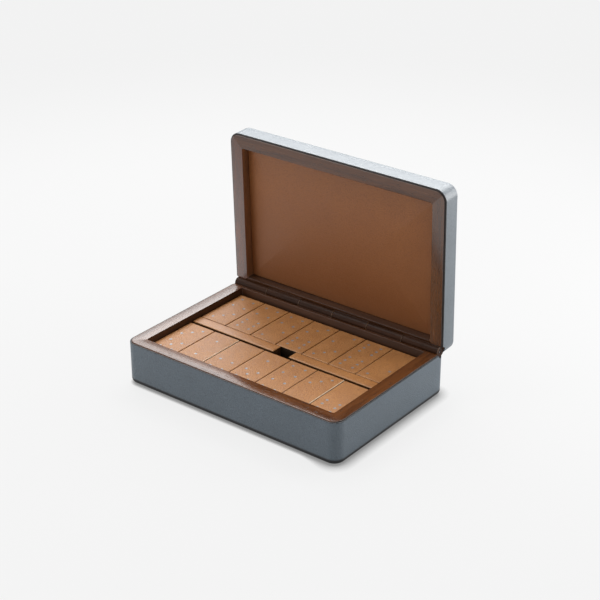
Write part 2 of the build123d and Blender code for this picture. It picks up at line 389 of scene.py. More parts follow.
def makeWalnut(name, turn, offset, look):
    # turn brings the board's length onto X, and offset is the place in the log that it is cut from
    material, tree, shader = newMaterial(name)
    setGloss(shader, look)
    place = ownPlace(tree)
    along = addNode(tree, "Mapping", None, Vector=place, Rotation=turn, Location=offset).outputs[0]
    grain = placeGroup(tree, woodGrain, Vector=along, Band_Width=look["bandWidth"],
                       Pore_Width=look["poreWidth"], Pore_Amount=look["poreAmount"])
    tone = fromTo(tree, grain.outputs["Tone"], *noiseSpan["wood"])
    colour = mixColour(tree, tone, look["dark"], look["light"])
    colour = mixColour(tree, grain.outputs["Pores"], colour, look["pore"])
    if "bareTop" in look:
        bare = fromTo(tree, heightOf(tree, place), *look["bareTop"])
        colour = mixColour(tree, mathOf(tree, "MULTIPLY", bare, look["topShade"]), colour, look["pore"])
        coat = mathOf(tree, "MULTIPLY", mathOf(tree, "SUBTRACT", 1.0, bare), look["coat"])
        tree.links.new(coat, shader.inputs["Coat Weight"])
    tree.links.new(colour, shader.inputs["Base Color"])
    rough = fromTo(tree, grain.outputs["Tone"], *noiseSpan["usual"], *look["roughness"])
    tree.links.new(rough, shader.inputs["Roughness"])
    addBump(tree, shader, grain.outputs["Height"], look["poreDepth"])
    return material


# which way a board's length runs
quarterTurn = math.pi / 2
alongX, alongY, alongZ = (0, 0, 0), (0, 0, quarterTurn), (0, quarterTurn, 0)
walnutCaseFront = makeWalnut("walnutCaseFront", alongX, (0.31, 0.12, 0.05), satinWalnut)
walnutCaseLeft = makeWalnut("walnutCaseLeft", alongY, (0.53, 0.21, 0.37), glossWalnut)
walnutCaseRight = makeWalnut("walnutCaseRight", alongY, (0.11, 0.64, 0.28), satinWalnut)
walnutLidFront = makeWalnut("walnutLidFront", alongX, (0.77, 0.43, 0.19), oiledWalnut)
walnutLidLeft = makeWalnut("walnutLidLeft", alongZ, (0.83, 0.09, 0.46), polishedPaintedSheenWalnut)
walnutLidRight = makeWalnut("walnutLidRight", alongZ, (0.27, 0.58, 0.71), waxedWalnut)
walnutHingePaintedShade = makeWalnut("walnutHingePaintedShade", alongX, (0.22, 0.75, 0.34), hingePaintedShadeWalnut)  # the back rails
walnutInsidePaintedShade = makeWalnut("walnutInsidePaintedShade", alongX, (0.6, 0.3, 0.1), insidePaintedShadeWalnut)  # the walls inside
walnutLidInsidePaintedLight = makeWalnut("walnutLidInsidePaintedLight", alongZ, (0.6, 0.3, 0.1), lidInsidePaintedLightWalnut)  # on its left rail
walnutBarrelPaintedShade = makeWalnut("walnutBarrelPaintedShade", alongX, (0.45, 0.86, 0.62), barrelPaintedShadeWalnut)
walnutPaintedGlint = makeWalnut("walnutPaintedGlint", alongX, (0.15, 0.36, 0.82), paintedGlintWalnut)  # the knuckles' end edges
walnutCore = makeWalnut("walnutCore", alongX, (0.2, 0.4, 0.9), barrelPaintedShadeWalnut)  # the divider's cores


def makeLeather(name, look, shade=None):
    # the optional shade is a painted shade: a second colour and roughness, full below one height and gone
    # above another
    material, tree, shader = newMaterial(name)
    setGloss(shader, look)
    place = ownPlace(tree)
    grain = placeGroup(tree, leatherGrain, Vector=place, Pebble_Size=look["pebble"],
                       Patch_Size=look["patch"], Softness=look["softness"])
    tone = fromTo(tree, grain.outputs["Tone"], *noiseSpan["usual"])
    colour = mixColour(tree, tone, look["dark"], look["light"])
    # painted shade: the colour darkens towards the crease colour in the grain's creases
    creased = mathOf(tree, "MULTIPLY", grain.outputs["Creases"], look["creaseShade"])
    colour = mixColour(tree, creased, colour, look["crease"])
    rough = fromTo(tree, grain.outputs["Tone"], *noiseSpan["usual"], *look["roughness"])
    if shade:
        low = fromTo(tree, heightOf(tree, place), shade["solid"], shade["clear"], 1.0, 0.0, smooth=True)
        colour = mixColour(tree, low, colour, shade["colour"])
        rough = mathOf(tree, "MAXIMUM", rough, mathOf(tree, "MULTIPLY", low, shade["roughness"]))
    tree.links.new(colour, shader.inputs["Base Color"])
    tree.links.new(rough, shader.inputs["Roughness"])
    addBump(tree, shader, grain.outputs["Height"], look["depth"])
    return material


slateLeatherLook = {
    "dark": (0.080, 0.105, 0.127, 1), "light": (0.105, 0.134, 0.160, 1), "crease": (0.045, 0.062, 0.08, 1),
    "creaseShade": 0.6, "pebble": 1.1 * mm, "patch": 18 * mm, "softness": 0.5, "roughness": (0.38, 0.50),
    "depth": 0.22 * mm, "coat": 0.08, "coatRoughness": 0.35, "specular": 0.5,
}
tanLeatherLook = {
    "dark": (0.234, 0.080, 0.0180, 1), "light": (0.292, 0.105, 0.0250, 1), "crease": (0.13, 0.040, 0.009, 1),
    "creaseShade": 0.6, "pebble": 0.9 * mm, "patch": 25 * mm, "softness": 0.6, "roughness": (0.46, 0.56),
    "depth": 0.12 * mm, "coat": 0.13, "coatRoughness": 0.4, "specular": 0.45,
}
dominoLeatherLook = tanLeatherLook | {
    "dark": (0.332, 0.134, 0.032, 1), "light": (0.440, 0.198, 0.055, 1), "crease": (0.18, 0.066, 0.014, 1),
    "creaseShade": 0.8, "pebble": 1.0 * mm, "patch": 9 * mm, "depth": 0.20 * mm, "roughness": (0.42, 0.54),
    "specular": 0.5,
}
# painted shade: the case's leather turns dark and rough round its foot, where it curves under
footShade = {"colour": (0.010, 0.010, 0.011, 1), "solid": 4.4 * mm, "clear": 6.4 * mm, "roughness": 0.9}
caseSlate = makeLeather("caseSlate", slateLeatherLook, footShade)
# painted light: the lid's leather is the case's slate leather in lighter colours, as the lid catches more
# light
lidPaintedLightSlateLook = slateLeatherLook | {"dark": (0.102, 0.124, 0.143, 1), "light": (0.133, 0.158, 0.178, 1),
                                   "coat": 0.42, "specular": 0.5, "depth": 0.14 * mm}
lidPaintedLightSlate = makeLeather("lidPaintedLightSlate", lidPaintedLightSlateLook)
# painted shade: the lid's lining is darker towards the hinge, and as rough there as elsewhere
liningLook = tanLeatherLook | {"dark": (0.272, 0.093, 0.021, 1), "light": (0.340, 0.122, 0.029, 1)}
liningShade = {"colour": (0.203, 0.069, 0.0165, 1), "solid": 20 * mm, "clear": 190 * mm, "roughness": 0.0}
liningLeather = makeLeather("liningLeather", liningLook, liningShade)
dominoLeather = makeLeather("dominoLeather", dominoLeatherLook)
dividerLeather = makeLeather("dividerLeather", dominoLeatherLook | {"pebble": 0.9 * mm, "depth": 0.015 * mm})


pipFoilLook = {"dark": (0.155, 0.165, 0.178, 1), "light": (0.245, 0.260, 0.280, 1), "speckle": 0.35 * mm,
               "roughness": (0.35, 0.5), "metal": 0.25, "depth": 0.01 * mm}


def makePipFoil():
    material, tree, shader = newMaterial("pipFoil")
    place = ownPlace(tree)
    speckle = noiseOf(tree, place, 1 / pipFoilLook["speckle"], rough=0.6)
    tone = fromTo(tree, speckle, *noiseSpan["speckle"])
    colour = mixColour(tree, tone, pipFoilLook["dark"], pipFoilLook["light"])
    tree.links.new(colour, shader.inputs["Base Color"])
    rough = fromTo(tree, speckle, *noiseSpan["usual"], *pipFoilLook["roughness"])
    tree.links.new(rough, shader.inputs["Roughness"])
    shader.inputs["Metallic"].default_value = pipFoilLook["metal"]
    addBump(tree, shader, speckle, pipFoilLook["depth"])
    return material


suedeLook = {"dark": (0.030, 0.022, 0.018, 1), "light": (0.062, 0.047, 0.038, 1), "nap": 0.4 * mm,
             "clump": 5 * mm, "napTone": 0.6, "clumpTone": 0.4, "depth": 0.12 * mm, "roughness": 0.95,
             "sheen": 0.3}


def makeSuede():
    material, tree, shader = newMaterial("suede")
    place = ownPlace(tree)
    nap = noiseOf(tree, place, 1 / suedeLook["nap"], detail=4.0, rough=0.65)
    clump = noiseOf(tree, place, 1 / suedeLook["clump"])
    both = weigh(tree, nap, suedeLook["napTone"], clump, suedeLook["clumpTone"])
    tone = fromTo(tree, both, *noiseSpan["speckle"])
    colour = mixColour(tree, tone, suedeLook["dark"], suedeLook["light"])
    tree.links.new(colour, shader.inputs["Base Color"])
    shader.inputs["Roughness"].default_value = suedeLook["roughness"]
    shader.inputs["Sheen Weight"].default_value = suedeLook["sheen"]
    addBump(tree, shader, nap, suedeLook["depth"])
    return material


steelLook = {"dark": (0.42, 0.41, 0.40, 1), "light": (0.62, 0.61, 0.60, 1), "line": 0.06 * mm, "draw": 0.02,
             "roughness": (0.28, 0.42)}


def makeSteel():
    material, tree, shader = newMaterial("pinSteel")
    place = ownPlace(tree)
    drawn = drawOut(tree, place, steelLook["draw"])
    scratches = noiseOf(tree, drawn, 1 / steelLook["line"], detail=2.0)
    colour = mixColour(tree, scratches, steelLook["dark"], steelLook["light"])
    tree.links.new(colour, shader.inputs["Base Color"])
    rough = fromTo(tree, scratches, *noiseSpan["usual"], *steelLook["roughness"])
    tree.links.new(rough, shader.inputs["Roughness"])
    shader.inputs["Metallic"].default_value = 1.0
    return material


plywoodLook = {"dark": (0.36, 0.22, 0.11, 1), "light": (0.55, 0.38, 0.21, 1), "bandWidth": 9 * mm,
               "poreWidth": 0.4 * mm, "poreAmount": 0.2, "poreDepth": 0.05 * mm, "roughness": 0.7}


def makePlywood():
    material, tree, shader = newMaterial("plywood")
    place = ownPlace(tree)
    grain = placeGroup(tree, woodGrain, Vector=place, Band_Width=plywoodLook["bandWidth"],
                       Pore_Width=plywoodLook["poreWidth"], Pore_Amount=plywoodLook["poreAmount"])
    tone = fromTo(tree, grain.outputs["Tone"], *noiseSpan["usual"])
    colour = mixColour(tree, tone, plywoodLook["dark"], plywoodLook["light"])
    tree.links.new(colour, shader.inputs["Base Color"])
    shader.inputs["Roughness"].default_value = plywoodLook["roughness"]
    addBump(tree, shader, grain.outputs["Height"], plywoodLook["poreDepth"])
    return material


pipFoil = makePipFoil()
suede = makeSuede()
pinSteel = makeSteel()
plywood = makePlywood()
# painted shade where the leather meets the wood: a darker grey on the leather's cut edge and a dark brown on
# the wood's rounding beside it
joinShadeLook = {"crease": (0.008, 0.008, 0.009, 1), "coat": 0.0, "specular": 0.15}
caseJoinShadeLook = joinShadeLook | {"dark": (0.062, 0.066, 0.070, 1), "light": (0.080, 0.085, 0.090, 1)}
lidJoinShadeLook = joinShadeLook | {"dark": (0.054, 0.050, 0.049, 1), "light": (0.080, 0.075, 0.074, 1)}
woodJoinShadeLook = joinShadeLook | {"dark": (0.026, 0.017, 0.013, 1), "light": (0.040, 0.027, 0.021, 1)}
# painted shade: a dark brown for the dominoes' sides, which stand in the gaps between them
paintedShadeBrownLook = {"dark": (0.018, 0.0105, 0.0062, 1), "light": (0.034, 0.0195, 0.0115, 1),
                "crease": (0.008, 0.0045, 0.0025, 1), "coat": 0.0, "specular": 0.15}
# painted shade: a darker brown for the divider strips' sides below their top edge
dividerPaintedShadeLook = paintedShadeBrownLook | {"dark": (0.076, 0.0310, 0.0100, 1), "light": (0.120, 0.0500, 0.0170, 1)}
# painted highlight: pale colours along one edge of two dominoes
tanEdgeHighlightLook = {"dark": (0.54, 0.39, 0.25, 1), "light": (0.68, 0.51, 0.35, 1), "crease": (0.40, 0.28, 0.17, 1)}
paleEdgeHighlightLook = {"dark": (0.88, 0.66, 0.46, 1), "light": (0.98, 0.78, 0.58, 1),
                "crease": (0.74, 0.54, 0.37, 1)}
caseJoinShade = makeLeather("caseJoinShade", slateLeatherLook | caseJoinShadeLook)
lidJoinShade = makeLeather("lidJoinShade", slateLeatherLook | lidJoinShadeLook)
woodJoinShade = makeLeather("woodJoinShade", slateLeatherLook | woodJoinShadeLook)
paintedShadeBrown = makeLeather("paintedShadeBrown", dominoLeatherLook | paintedShadeBrownLook)
dividerPaintedShade = makeLeather("dividerPaintedShade", dominoLeatherLook | dividerPaintedShadeLook)
tanEdgeHighlight = makeLeather("tanEdgeHighlight", dominoLeatherLook | tanEdgeHighlightLook)
paleEdgeHighlight = makeLeather("paleEdgeHighlight", dominoLeatherLook | paleEdgeHighlightLook)

# four hidden pieces are shown as the CAD has them
for node, material in {"floor_board": plywood, "lid_board": plywood, "left_divider_core": walnutCore,
                       "right_divider_core": walnutCore}.items():
    frame["nodes"][node].data.materials.clear()
    frame["nodes"][node].data.materials.append(material)
print("materials made:", len(bpy.data.materials))


# The relief that both frames have at the hinge: a cove round the knuckles and a bevel behind them;
# past is how far the tool that cuts it goes beyond the wood

relief = {"cove": 4.5 * mm, "bevel": math.radians(45), "steps": 40, "past": 40 * mm}


def reliefTool(side):
    # the form to cut away: side is -1 for the case and 1 for the lid, which is cut while shut
    bevel = math.degrees(relief["bevel"])
    start, end = (90, 360 - bevel) if side < 0 else (270, bevel)
    steps, cove, far = relief["steps"], relief["cove"], relief["past"]
    angles = [math.radians(start + (end - start) * step / steps) for step in range(steps + 1)]
    outline = [(cove * math.cos(a), cove * math.sin(a)) for a in angles]
    outline += [(far, side * far * math.tan(relief["bevel"])), (far, -side * far), (0, -side * far)]
    half = woodHalfLength + far
    points = [(x, hingePoint.y + y, hingePoint.z + z) for x in (-half, half) for y, z in outline]
    tool = meshPiece("reliefTool", points, ringFaces(2, len(outline), closed=False))
    facesOut(tool)
    return tool


# Walnut frames

# the last three tell which faces get painted shade where the wood meets the leather, or belong to the walls
# inside
woodFrame = {"corner": 8 * mm, "rimEdge": 0.8 * mm, "rimSteps": 6, "wellEdge": 0.4 * mm, "wellSteps": 4,
             "wellCorner": 1.6 * mm, "rebate": 5.4 * mm, "caseBevel": 2.5 * mm, "lidBevel": 1.8 * mm,
             "mitreGap": 0.03 * mm, "joinShadeBelow": 0.1 * mm, "wallSlope": 0.3, "wallReach": 0.1 * mm}


def woodSection(rim, far, board, bevel, up):
    # from the bevelled outside up to the rim and down inside to the board's rebate; up is -1 for the lid
    edge, inner = woodFrame["rimEdge"], woodFrame["wellEdge"]
    section = [(bevel, far), (0, far + up * bevel)]
    outerArc = arc(edge, 0, edge, 0, 90, woodFrame["rimSteps"])
    innerArc = arc(railWidth - inner, 0, inner, 90, 180, woodFrame["wellSteps"])
    section += [(inset, rim + up * (height - edge)) for inset, height in outerArc]
    section += [(inset, rim + up * (height - inner)) for inset, height in innerArc]
    section += [(railWidth, board), (woodFrame["rebate"], board), (woodFrame["rebate"], far)]
    return section


def splitRails(ring, turn):
    # cuts the frame along its mitres, and turns each rail to where it stands
    rails = {}
    for name, (outX, outY) in {"front": (0, -1), "right": (1, 0), "back": (0, 1), "left": (-1, 0)}.items():
        form = bmesh.new()
        form.from_mesh(ring.data)
        for side in (-1, 1):
            acrossX, acrossY = side * outY, side * outX
            corner = Vector(((outX + acrossX) * wellHalfLength, (outY + acrossY) * wellHalfDepth, 0))
            normal = Vector((outX - acrossX, outY - acrossY, 0)).normalized()
            keepSide(form, corner + normal * woodFrame["mitreGap"], normal)
        rail = meshPiece(name, [], [])
        form.transform(turn)
        form.to_mesh(rail.data)
        form.free()
        rails[name] = rail
    return rails


def insideWall(face, turn):
    # a face on the walls of the well, whatever way the frame is turned
    back = turn.inverted()
    upright = abs((back.to_3x3() @ face.normal).z) < woodFrame["wallSlope"]
    return upright and insetOf(back @ face.center) > railWidth - woodFrame["wallReach"]


def joinShadedEdge(face, turn, rim):
    # a face outside on the rim's rounding, away from its top, which gets painted shade where the wood meets
    # the leather
    spot = turn.inverted() @ face.center
    corner, edge = woodFrame["corner"], woodFrame["rimEdge"]
    cornerReach = math.hypot(max(abs(spot.x) - woodHalfLength + corner, 0),
                             max(abs(spot.y) - woodHalfDepth + corner, 0))
    outside = insetOf(spot) < edge or cornerReach > corner - edge
    return outside and abs(spot.z - rim) > woodFrame["joinShadeBelow"]


def makeFrame(part, tool, section, turn, rim, grains, joinShadedRails):
    points, faces = sweepSection(section, woodHalfLength, woodHalfDepth, woodFrame["corner"], closed=True,
                                 sharpest=woodFrame["wellCorner"])
    ring = meshPiece(part + "Ring", points, faces)
    facesOut(ring)
    cutAway(ring, tool)
    for name, rail in splitRails(ring, turn).items():
        rail.name = part + name.capitalize() + "Rail"
        # the walls inside take a painted shade, and the lid's left rail a painted light
        paintFaces(rail, 1, lambda face: insideWall(face, turn))
        # painted shade on the rim's rounding beside the leather
        if name in joinShadedRails:
            paintFaces(rail, 2, lambda face: joinShadedEdge(face, turn, rim))
        finishPiece(rail, part, "walnut", f"{nodePrefix[part]}_{name}_rail",
                    materials=[grains[name], grains.get(name + "Inside", walnutInsidePaintedShade), woodJoinShade])
    bpy.data.objects.remove(ring)


caseTool, lidTool = reliefTool(-1), reliefTool(1)
caseSection = woodSection(rimHeight, caseBottom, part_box("floor_board")[1].z, woodFrame["caseBevel"], 1)
caseGrains = {"front": walnutCaseFront, "back": walnutHingePaintedShade, "left": walnutCaseLeft, "right": walnutCaseRight}
makeFrame("case", caseTool, caseSection, still, rimHeight, caseGrains, ("right",))
lidRim, lidFar = (corner.z for corner in shutBox("lid_front_rail"))
lidSection = woodSection(lidRim, lidFar, shutBox("lid_board")[0].z, woodFrame["lidBevel"], -1)
lidGrains = {"front": walnutLidFront, "back": walnutHingePaintedShade, "left": walnutLidLeft, "right": walnutLidRight,
             "leftInside": walnutLidInsidePaintedLight}
makeFrame("lid", lidTool, lidSection, openLid, lidRim, lidGrains, ("front", "right"))
print("walnut frames made")


# Leather outside

# the height of the band of painted shade on the leather's cut edge has to stay larger than the cut edge's
# rounding
wrap = {"thick": 1 * mm, "corner": 9 * mm, "foot": 3.5 * mm, "lidTop": 2.8 * mm, "steps": 8,
        "cutEdge": 0.28 * mm, "edgeSteps": 3, "joinShadeBand": 0.32 * mm, "padGap": 0.2 * mm}
leatherHalfLength = woodHalfLength + wrap["thick"]
leatherHalfDepth = woodHalfDepth + wrap["thick"]


def makeCaseLeather():
    # round the outside and turned in below, as far as the pad
    thick, foot, edge = wrap["thick"], wrap["foot"], wrap["cutEdge"]
    low, high = (corner.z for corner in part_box("base_leather"))
    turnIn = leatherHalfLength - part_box("base_pad")[1].x - wrap["padGap"]
    section = [(thick, high)] + arc(edge, high - edge, edge, 90, 0, wrap["edgeSteps"])
    section += [(0, high - wrap["joinShadeBand"])] + arc(foot, low + foot, foot, 0, -90, wrap["steps"])
    section += [(turnIn, low), (turnIn, caseBottom), (foot, caseBottom), (thick, low + foot)]
    points, faces = sweepSection(section, leatherHalfLength, leatherHalfDepth, wrap["corner"], closed=True)
    leather = meshPiece("caseLeather", points, faces)
    facesOut(leather)
    cutAway(leather, caseTool)
    # painted shade on the leather's cut edge, where it meets the wood
    paintFaces(leather, 1, lambda face: face.center.z > high - wrap["joinShadeBand"])
    finishPiece(leather, "case", "slate_leather", "base_leather", materials=[caseSlate, caseJoinShade])


def makeLidLeather():
    # over the lid's top and down its sides, drawn shut
    thick, top, edge = wrap["thick"], wrap["lidTop"], wrap["cutEdge"]
    low, high = (corner.z for corner in shutBox("lid_leather"))
    middle = leatherHalfDepth - wrap["corner"]
    section = [(middle, high - thick), (top, high - thick), (thick, high - top), (thick, low)]
    section += arc(edge, low + edge, edge, -90, 0, wrap["edgeSteps"]) + [(0, low + wrap["joinShadeBand"])]
    section += arc(top, high - top, top, 0, 90, wrap["steps"]) + [(middle, high)]
    points, faces = sweepSection(section, leatherHalfLength, leatherHalfDepth, wrap["corner"], closed=False)
    leather = meshPiece("lidLeather", points, faces)
    facesOut(leather)
    cutAway(leather, lidTool)
    # painted shade on the leather's cut edge, where it meets the wood
    paintFaces(leather, 1, lambda face: face.center.z < low + wrap["joinShadeBand"])
    leather.data.transform(openLid)
    finishPiece(leather, "lid", "slate_leather", "lid_leather", materials=[lidPaintedLightSlate, lidJoinShade])


makeCaseLeather()
makeLidLeather()
bpy.data.objects.remove(caseTool)
bpy.data.objects.remove(lidTool)
print("outer leather made")


# Knuckles on their pin

barrel = {"radius": 4.2 * mm, "saddle": 4.5 * mm, "bore": 1.05 * mm, "count": 6, "gap": 0.4 * mm,
          "edge": 0.3 * mm, "rim": 0.25 * mm, "steps": 72}
pin = {"radius": 1 * mm, "edge": 0.2 * mm, "steps": 32}


def carryAlongX(outline, rings):
    # an outline round the hinge's line; a ring is an x and what the outline is multiplied by
    return [(x, hingePoint.y + share * y, hingePoint.z + share * z) for x, share in rings for y, z in outline]


def knuckleOutline(side):
    # the barrel, and towards its own frame the saddle that fills the cove
    outline = []
    rimAngle = math.degrees(math.asin(barrel["rim"] / barrel["saddle"]))
    first, last = 180 + rimAngle, 360 - math.degrees(relief["bevel"])
    for step in range(barrel["steps"]):
        angle = 360 * step / barrel["steps"]
        radius = barrel["saddle"] if first <= angle <= last else barrel["radius"]
        a = math.radians(angle)
        outline.append((radius * math.cos(a), -side * radius * math.sin(a)))
    return outline


def makeKnuckles(part, side, turn):
    # every second knuckle along the pin, bored through, with a painted glint on its end edges
    low = min(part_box("base_knuckles")[0].x, shutBox("lid_knuckles")[0].x)
    high = max(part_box("base_knuckles")[1].x, shutBox("lid_knuckles")[1].x)
    length = (high - low - (barrel["count"] - 1) * barrel["gap"]) / barrel["count"]
    outline = knuckleOutline(side)
    edge, radius = barrel["edge"], barrel["radius"]
    ease, bore = 1 - edge / radius, barrel["bore"] / radius
    points, faces = [], []
    for place in range(0 if side < 0 else 1, barrel["count"], 2):
        left = low + place * (length + barrel["gap"])
        right = left + length
        rings = [(left, bore), (left, ease), (left + edge, 1)]
        rings += [(right - edge, 1), (right, ease), (right, bore)]
        start = len(points)
        points += carryAlongX(outline, rings)
        faces += [tuple(start + k for k in face) for face in ringFaces(len(rings), len(outline), closed=True)]
    piece = meshPiece(part + "Knuckles", points, faces, turn)
    perKnuckle = len(rings) * len(outline)
    glintRows = (1, 3)  # counted in rows of faces from a knuckle's left end
    paintFaces(piece, 1, lambda face: face.index % perKnuckle // len(outline) in glintRows)
    finishPiece(piece, part, "walnut", nodePrefix[part] + "_knuckles", materials=[walnutBarrelPaintedShade, walnutPaintedGlint])


def makePin():
    low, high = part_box("hinge_pin")
    edge, radius = pin["edge"], pin["radius"]
    rings = [(low.x, radius - edge), (low.x + edge, radius), (high.x - edge, radius), (high.x, radius - edge)]
    angles = [2 * math.pi * k / pin["steps"] for k in range(pin["steps"])]
    points = carryAlongX([(math.cos(a), math.sin(a)) for a in angles], rings)
    piece = meshPiece("pin", points, ringFaces(len(rings), pin["steps"], closed=False))
    finishPiece(piece, "case", "steel", "hinge_pin", materials=[pinSteel])


makeKnuckles("case", -1, still)
makeKnuckles("lid", 1, openLid)
makePin()
print("hinge made")


# Linings, pad and divider

slabSteps = {"edge": 4, "corner": 6}


def slabSection(low, high, edge, middle):
    section = [(middle, low)] + arc(edge, low + edge, edge, -90, 0, slabSteps["edge"])
    return section + arc(edge, high - edge, edge, 0, 90, slabSteps["edge"]) + [(middle, high)]


def makeSlab(name, box, shape, body, slot, node, material, turn=still):
    # a flat piece with rounded corners and edges
    low, high = box
    corner, edge = shape["corner"], shape["edge"]
    halfLength, halfDepth = (high.x - low.x) / 2, (high.y - low.y) / 2
    section = slabSection(low.z, high.z, edge, min(halfLength, halfDepth) - corner - edge)
    points, faces = sweepSection(section, halfLength, halfDepth, corner, closed=False,
                                 cornerSteps=slabSteps["corner"])
    centre = (low + high) / 2
    points = [(x + centre.x, y + centre.y, z) for x, y, z in points]
    piece = meshPiece(name, points, faces, turn)
    return finishPiece(piece, body, slot, node, materials=[material])


lidLining = {"corner": 1 * mm, "edge": 0.5 * mm}
floorLining = {"corner": 0.8 * mm, "edge": 0.3 * mm}
pad = {"corner": 3.8 * mm, "edge": 0.4 * mm}
divider = {"corner": 0.7 * mm, "edge": 0.6 * mm, "underSlope": -0.5}
makeSlab("lidLining", shutBox("lid_lining"), lidLining, "lid", "tan_leather", "lid_lining", liningLeather,
         openLid)
makeSlab("floorLining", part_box("floor_lining"), floorLining, "case", "suede", "floor_lining", suede)
underPad = makeSlab("underPad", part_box("base_pad"), pad, "case", "suede", "base_pad", suede)
for name in ("left", "right"):
    low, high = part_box(name + "_divider_cover")
    strip = makeSlab(name + "Divider", (low, high), divider, "case", "tan_leather", name + "_divider_cover",
                     dividerLeather)
    strip.data.materials.append(dividerPaintedShade)
    sideTop, underSlope = high.z - divider["edge"], divider["underSlope"]
    # painted shade on the strip's sides below its top edge
    paintFaces(strip, 1, lambda face: face.center.z < sideTop and face.normal.z > underSlope)
print("linings and divider made")


# Dominoes

# column and row are the pitches of the pips, foil covers a pip's inner foilFrom, the slopes tell
# the sides and the edge with the painted highlight by their normals, an edge that turns by more than square
# is rounded, and lift is how far the side with the painted highlight stands up
tile = {"edge": 0.7 * mm, "edgeSteps": 4, "column": 5.7 * mm, "row": 6 * mm, "pip": 1.05 * mm, "pipSteps": 4,
        "foilFrom": 1.0, "sideSlope": 0.5, "highlightSlope": 0.2, "lift": 0.35 * mm, "square": math.radians(60),
        "sharpAngle": 50}
tileFaces = {"leather": 0, "foil": 1, "side": 2, "highlight": 3}  # the order of a domino's materials
highlightEdges = {"domino_1_1": paleEdgeHighlight, "domino_0_3": tanEdgeHighlight}  # a painted highlight, pale along one edge of each
# from the flat leather in to the foil, as shares of the pip's radius and heights
pipProfile = [(1.25, 0.0), (1.08, -0.015 * mm), (1.0, -0.04 * mm), (0.94, -0.06 * mm)]
# from left to right, each with its pips by the hinge and its pips in front
upperBackRow = [(4, 3), (4, 6), (4, 2), (3, 6), (2, 3), (6, 6), (0, 2)]
upperFrontRow = [(3, 5), (1, 1), (0, 4), (1, 5), (4, 4), (3, 0), (0, 6)]
lowerBackRow = [(0, 0), (1, 0), (5, 0), (2, 1), (1, 3), (4, 1), (6, 1)]
lowerFrontRow = [(2, 2), (5, 2), (2, 6), (3, 3), (5, 4), (5, 5), (6, 5)]


def pipCells(pips):
    # where the pips of one half are, as column and row counted from its middle
    cells = [(0, 0)] if pips % 2 else []
    if pips > 1:
        cells += [(1, 1), (-1, -1)]
    if pips > 3:
        cells += [(-1, 1), (1, -1)]
    if pips == 6:
        cells += [(-1, 0), (1, 0)]
    return cells


def cellBorders(half, pitch, middles):
    # across a tile's top, with one cell round each middle
    inner = sorted({round(middle + side * pitch / 2, 7) for middle in middles for side in (-1, 1)})
    return [-half] + inner + [half]


def makeDomino(node, backPips, frontPips):
    low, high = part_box(node)
    centre = (low + high) / 2
    halfWidth, halfLength = (high.x - low.x) / 2, (high.y - low.y) / 2
    halfMiddle = halfLength / 2
    columns = cellBorders(halfWidth, tile["column"], [-tile["column"], 0, tile["column"]])
    rowMiddles = [side * halfMiddle + step * tile["row"] for side in (-1, 1) for step in (-1, 0, 1)]
    rows = cellBorders(halfLength, tile["row"], rowMiddles)
    pips = {(c * tile["column"], halfMiddle + r * tile["row"]) for c, r in pipCells(backPips)}
    pips |= {(c * tile["column"], -halfMiddle + r * tile["row"]) for c, r in pipCells(frontPips)}
    form = bmesh.new()
    found = {}

    def vertexAt(x, y):
        key = (round(x, 7), round(y, 7))
        if key not in found:
            found[key] = form.verts.new((centre.x + x, centre.y + y, high.z))
        return found[key]

    for left, right in zip(columns, columns[1:]):
        for front, back in zip(rows, rows[1:]):
            makeCell(form, vertexAt, (left, right, front, back), pips, centre, high.z)
    closeBlock(form, low.z - high.z)
    # painted shade on the sides, and on two dominoes a painted highlight along one edge of the top
    for face in form.faces:
        onTop = face.calc_center_median().z > high.z - tile["edge"]
        if node in highlightEdges and onTop and face.normal.x > tile["highlightSlope"]:
            face.material_index = tileFaces["highlight"]
        elif face.normal.z < tile["sideSlope"]:
            face.material_index = tileFaces["side"]
    if node in highlightEdges:
        for vertex in form.verts:
            vertex.co.z += tile["lift"] * (vertex.co.x - low.x) / (high.x - low.x)
    piece = meshPiece(node.replace("domino_", "tile"), [], [])
    form.to_mesh(piece.data)
    form.free()
    finishPiece(piece, node, "domino_leather", node, sharpAngle=tile["sharpAngle"],
                materials=[dominoLeather, pipFoil, paintedShadeBrown, highlightEdges.get(node, tanEdgeHighlight)])


def makeCell(form, vertexAt, borders, pips, centre, top):
    # a flat cell of the top, or one with a pip pressed into it
    left, right, front, back = borders
    steps = tile["pipSteps"]
    share = [step / steps for step in range(steps)]
    border = [(right, front + (back - front) * s) for s in share]
    border += [(right + (left - right) * s, back) for s in share]
    border += [(left, back + (front - back) * s) for s in share]
    border += [(left + (right - left) * s, front) for s in share]
    ring = [vertexAt(x, y) for x, y in border]
    middle = ((left + right) / 2, (front + back) / 2)
    pip = next((spot for spot in pips if math.dist(spot, middle) < tile["pip"]), None)
    if not pip:
        form.faces.new(ring)
        return
    angles = [math.radians(-45 + 90 * k / steps) for k in range(4 * steps)]  # round from the first corner
    x, y = centre.x + pip[0], centre.y + pip[1]
    for size, height in pipProfile:
        radius = size * tile["pip"]
        inner = [form.verts.new((x + radius * math.cos(a), y + radius * math.sin(a), top + height))
                 for a in angles]
        for k in range(4 * steps):
            n = (k + 1) % (4 * steps)
            face = form.faces.new((ring[k], ring[n], inner[n], inner[k]))
            face.material_index = tileFaces["foil"] if size <= tile["foilFrom"] else tileFaces["leather"]
        ring = inner
    form.faces.new(ring).material_index = tileFaces["foil"]


